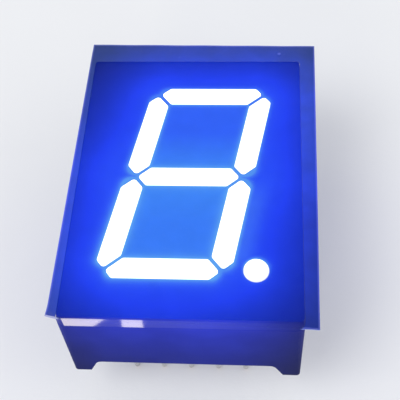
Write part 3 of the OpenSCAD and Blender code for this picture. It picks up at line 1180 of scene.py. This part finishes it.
@dataclass
class BackResin:
    """The poured back, with the resin that creeps up the pins and the walls."""

    finish: ResinFinish = ResinFinish("cast resin")
    creep: float = 0.26 * MM
    wall_share: float = 0.8
    reach: float = 0.55 * MM
    corner: float = 0.4 * MM
    corner_steps: int = 6
    turns: int = 40
    steps: int = 8
    pins: int = 10

    def build(self) -> None:
        """Dresses the pour and adds its menisci."""
        material = dress_nodes(self.finish, "back_resin")
        seat(self.round_pins(material))
        seat(self.round_walls(material))

    def profile(self, creep: float) -> list[Point]:
        """Gives a hollow fillet's section, as ways out from the wall and down from the surface."""
        places = np.linspace(0, 1, self.steps + 1)
        return [(self.reach * s * s, creep * (1 - s) ** 2) for s in places]

    def round_pins(self, material: bpy.types.Material) -> bpy.types.Object:
        """Builds the fillets round the pins.

        Args:
            material: The resin's material.

        Returns:
            One object with a ring for each pin.
        """
        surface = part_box("back_resin")[0].z
        section = self.profile(self.creep)
        points, faces = [], []
        for number in range(1, self.pins + 1):
            low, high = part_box(f"pin_{number}")
            middle, radius = (low + high) / 2, (high.x - low.x) / 2
            faces += band_faces(len(points), len(section), self.turns)
            for out, down in section:
                for turn in np.linspace(0, 2 * math.pi, self.turns, endpoint=False):
                    points.append((middle.x + (radius + out) * math.cos(turn),
                                   middle.y + (radius + out) * math.sin(turn), surface - down))
        return new_piece("resin_round_pins", np.array(points), faces, material)

    def round_walls(self, material: bpy.types.Material) -> bpy.types.Object:
        """Builds the fillet along the inside of the walls.

        Args:
            material: The resin's material.

        Returns:
            One object with one loop.
        """
        low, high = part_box("back_resin")
        section = self.profile(self.creep * self.wall_share)
        corner_turns = np.linspace(0, math.pi / 2, self.corner_steps + 1)
        inset = self.corner + self.reach
        middles = ((high.x - inset, high.y - inset), (low.x + inset, high.y - inset),
                   (low.x + inset, low.y + inset), (high.x - inset, low.y + inset))
        points = []
        for out, down in section:
            for quarter, (x, y) in enumerate(middles):
                for turn in corner_turns + quarter * math.pi / 2:
                    points.append((x + (inset - out) * math.cos(turn), y + (inset - out) * math.sin(turn),
                                   low.z - down))
        faces = band_faces(0, len(section), len(middles) * len(corner_turns))
        return new_piece("resin_round_walls", np.array(points), faces, material)


@dataclass
class Film:
    """The protective film, a little askew, with one corner standing up."""

    finish: FilmFinish = FilmFinish("clear film")
    trim: float = 0.01 * MM
    thickness: float = 0.09 * MM
    above_face: float = 0.012 * MM
    across: int = 107
    along: int = 147
    lift: float = 0.62 * MM
    peel: float = 1.1 * MM
    draw_in: float = 0.10 * MM
    droop: float = 0.05 * MM
    droop_run: float = 1.0 * MM
    foot_droop: float = 0.26 * MM
    foot_droop_run: float = 0.5 * MM
    foot_droop_power: float = 1.5
    foot_droop_right: Span = (-0.1, 0.4)
    foot_droop_low: Span = (0.2, 0.5)
    wave: float = 0.012 * MM
    wave_per_mm: Point = (1.3, 0.9)
    wave_start: float = 0.6

    def underside(self) -> np.ndarray:
        """Lays out the underside.

        Returns:
            Points in rows along the film, each with its place in the frame.
        """
        cut = self.finish.cut
        width, length = (size * MM - self.trim for size in cut.size_mm)
        shift_x, shift_y = (shift * MM for shift in cut.shift_mm)
        cosine, sine = cut.turn()
        u, v = np.meshgrid(np.linspace(-0.5, 0.5, self.across + 1) * width,
                           np.linspace(-0.5, 0.5, self.along + 1) * length)
        diagonal = math.hypot(width, length)
        loose = np.maximum(0, -(u * width + v * length) / diagonal - diagonal / 2 + self.peel)
        x = shift_x + u * cosine - v * sine + self.draw_in * (loose / self.peel) ** 3
        y = shift_y + u * sine + v * cosine
        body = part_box("reflector_housing")[1]
        face_low, face_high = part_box("face_print")
        past = rising(np.maximum(np.abs(x) - body.x, np.abs(y) - body.y), 0, self.droop_run)
        over = rising(np.maximum(np.abs(x) - face_high.x, face_low.y - y), 0, self.foot_droop_run)
        right = rising(u / width, *self.foot_droop_right)
        low = rising(-v / length, *self.foot_droop_low)
        rise = self.lift * (loose / self.peel) ** 2
        sag = self.droop * past ** 2 * (loose == 0)
        sag += self.foot_droop * over ** self.foot_droop_power * right * low
        wave_x, wave_y = self.wave_per_mm
        wave = self.wave * np.sin(x / MM * wave_x + self.wave_start) * np.sin(y / MM * wave_y) * past
        z = face_high.z + self.above_face + rise - sag + wave
        return np.stack([x, y, z], axis=-1).reshape(-1, 3)

    def build(self) -> None:
        """Builds the sheet in place of the plain solid."""
        under = self.underside()
        over = under + np.array([0, 0, self.thickness])
        row, count = self.across + 1, len(under)
        cells = [j * row + i for j in range(self.along) for i in range(self.across)]
        faces = [(c, c + row, c + row + 1, c + 1) for c in cells]
        faces += [tuple(i + count for i in (c, c + 1, c + row + 1, c + row)) for c in cells]
        rim = list(range(self.across))
        rim += [j * row + self.across for j in range(self.along)]
        rim += [self.along * row + i for i in range(self.across, 0, -1)]
        rim += [j * row for j in range(self.along, 0, -1)]
        faces += [(a, b, b + count, a + count) for a, b in zip(rim, rim[1:] + rim[:1])]
        points = np.concatenate([under, over])
        piece = new_piece("protective_film_sheet", points, faces, self.finish.material())
        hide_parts("protective_film")
        seat(piece)


@dataclass(frozen=True)
class Lamp:
    """One soft rectangular light."""

    name: str
    place: Triple
    width: float
    height: float
    power: float
    aim: Triple = (0, 0, 0.005)

    def hang(self) -> bpy.types.Object:
        """Hangs the light.

        Returns:
            The light, turned to the point that it aims at.
        """
        data = bpy.data.lights.new(self.name, "AREA")
        data.shape, data.energy = "RECTANGLE", self.power
        data.size, data.size_y = self.width, self.height
        lamp = bpy.data.objects.new(self.name, data)
        lamp.location = Vector(self.place)
        lamp.rotation_euler = (Vector(self.aim) - Vector(self.place)).to_track_quat("-Z", "Y").to_euler()
        bpy.context.scene.collection.objects.link(lamp)
        return lamp


@dataclass
class Studio:
    """The pale floor, the soft lights, the world and the camera."""

    floor_finish: FloorFinish = FloorFinish("pale floor")
    floor_half: float = 4.0
    floor_corners: int = 64
    background: float = 0.92
    sky: float = 0.70
    sky_tone: Colour = (0.97, 0.98, 1.0)
    lamps: tuple[Lamp, ...] = (
        Lamp("key light", place=(-0.20, -0.16, 0.40), width=0.26, height=0.26, power=0.80),
        Lamp("fill light", place=(0.34, -0.10, 0.26), width=0.30, height=0.30, power=0.22),
        Lamp("back light", place=(0.05, 0.40, 0.16), width=0.30, height=0.16, power=0.20),
    )
    bevel_mm: Point = (-13.72, 9.35)
    bevel_drop_mm: float = 0.60
    bevel_run_mm: float = 0.55
    strip_way: float = 0.30
    strip_height: float = 0.07
    strip_glare: float = 15.0
    strip_tone: Colour = (1.0, 0.90, 0.70)
    camera_at: Triple = (6.096e-3, -40.686e-3, 67.976e-3)
    camera_turn: Triple = (2.55827, 0.04325, -0.08655)
    focal_px: float = 823.4
    frame_px: float = 400.0
    sensor_mm: float = 36.0
    nearest_seen: float = 0.001
    farthest_seen: float = 10.0

    def build(self) -> None:
        """Builds everything round the object."""
        self.floor()
        self.world()
        for lamp in self.lamps:
            lamp.hang()
        self.strip("strip light left", across_mm=-8.37, width=0.0137, lean_deg=-50)
        self.strip("strip light right", across_mm=-3.67, width=0.0090, lean_deg=14)
        self.camera()

    def floor(self) -> None:
        """Lays the floor under the pins' tips."""
        turns = np.linspace(0, 2 * math.pi, self.floor_corners, endpoint=False)
        ring = [(self.floor_half * math.cos(a), self.floor_half * math.sin(a), CAD_BOX[0].z) for a in turns]
        material = self.floor_finish.material()
        new_piece("floor", np.array(ring), [range(self.floor_corners)], material)

    def world(self) -> None:
        """Sets a pale background and an even sky light."""
        world = bpy.data.worlds.new("studio")
        bpy.context.scene.world = world
        world.use_nodes = True
        world.node_tree.nodes.clear()
        shader = Shader(world.node_tree)
        path = shader.add("ShaderNodeLightPath").outputs
        seen = shader.math("ADD", path["Is Camera Ray"], path["Is Glossy Ray"])
        seen = shader.math("ADD", seen, path["Is Transmission Ray"], clamp=True)
        sky = shader.add("ShaderNodeBackground")
        sky.inputs["Color"].default_value = (*self.sky_tone, 1)
        strength = shader.math("MULTIPLY_ADD", seen, self.background - self.sky, self.sky)
        shader.feed(sky.inputs["Strength"], strength)
        shader.feed(shader.add("ShaderNodeOutputWorld").inputs[0], sky.outputs[0])

    def strip(self, name: str, across_mm: float, width: float, lean_deg: float) -> None:
        """Hangs a small bright strip where the front bevel mirrors it to the camera.

        Args:
            name: The light's name.
            across_mm: The place on the bevel that mirrors the strip's middle.
            width: The strip's width.
            lean_deg: How far the strip leans over.
        """
        start = Vector((across_mm, *self.bevel_mm)) * MM
        slope = Vector((0, -self.bevel_drop_mm, self.bevel_run_mm)).normalized()
        sight = (Vector(self.camera_at) - start).normalized()
        place = start + self.strip_way * (2 * sight.dot(slope) * slope - sight)
        power = self.strip_glare * math.pi * width * self.strip_height
        lamp = Lamp(name, tuple(place), width, self.strip_height, power, tuple(start)).hang()
        lamp.data.color = self.strip_tone
        lamp.rotation_euler.rotate_axis("Z", math.radians(lean_deg))

    def camera(self) -> None:
        """Sets the camera at the photograph's angle."""
        data = bpy.data.cameras.new("camera")
        data.sensor_width = self.sensor_mm
        data.lens = self.focal_px * self.sensor_mm / self.frame_px
        data.clip_start, data.clip_end = self.nearest_seen, self.farthest_seen
        turn = Vector(self.camera_turn)
        to_camera = Matrix.Rotation(turn.length, 3, turn.normalized())
        axes = to_camera.transposed() @ Matrix.Diagonal((1, -1, -1))
        camera = bpy.data.objects.new("camera", data)
        camera.matrix_world = Matrix.Translation(self.camera_at) @ axes.to_4x4()
        bpy.context.scene.collection.objects.link(camera)
        bpy.context.scene.camera = camera


def main() -> None:
    """Builds every sub-assembly in order."""
    logging.basicConfig(level=logging.INFO, format="%(name)s: %(message)s")
    bpy.context.scene.view_settings.view_transform = "Standard"
    Effects(Digit()).build()
    for assembly in (Housing(), LightSource(), PinSet(), BackResin(), Film(), Studio()):
        assembly.build()
        LOG.info("built %s", type(assembly).__name__)


if __name__ == "__main__":
    main()
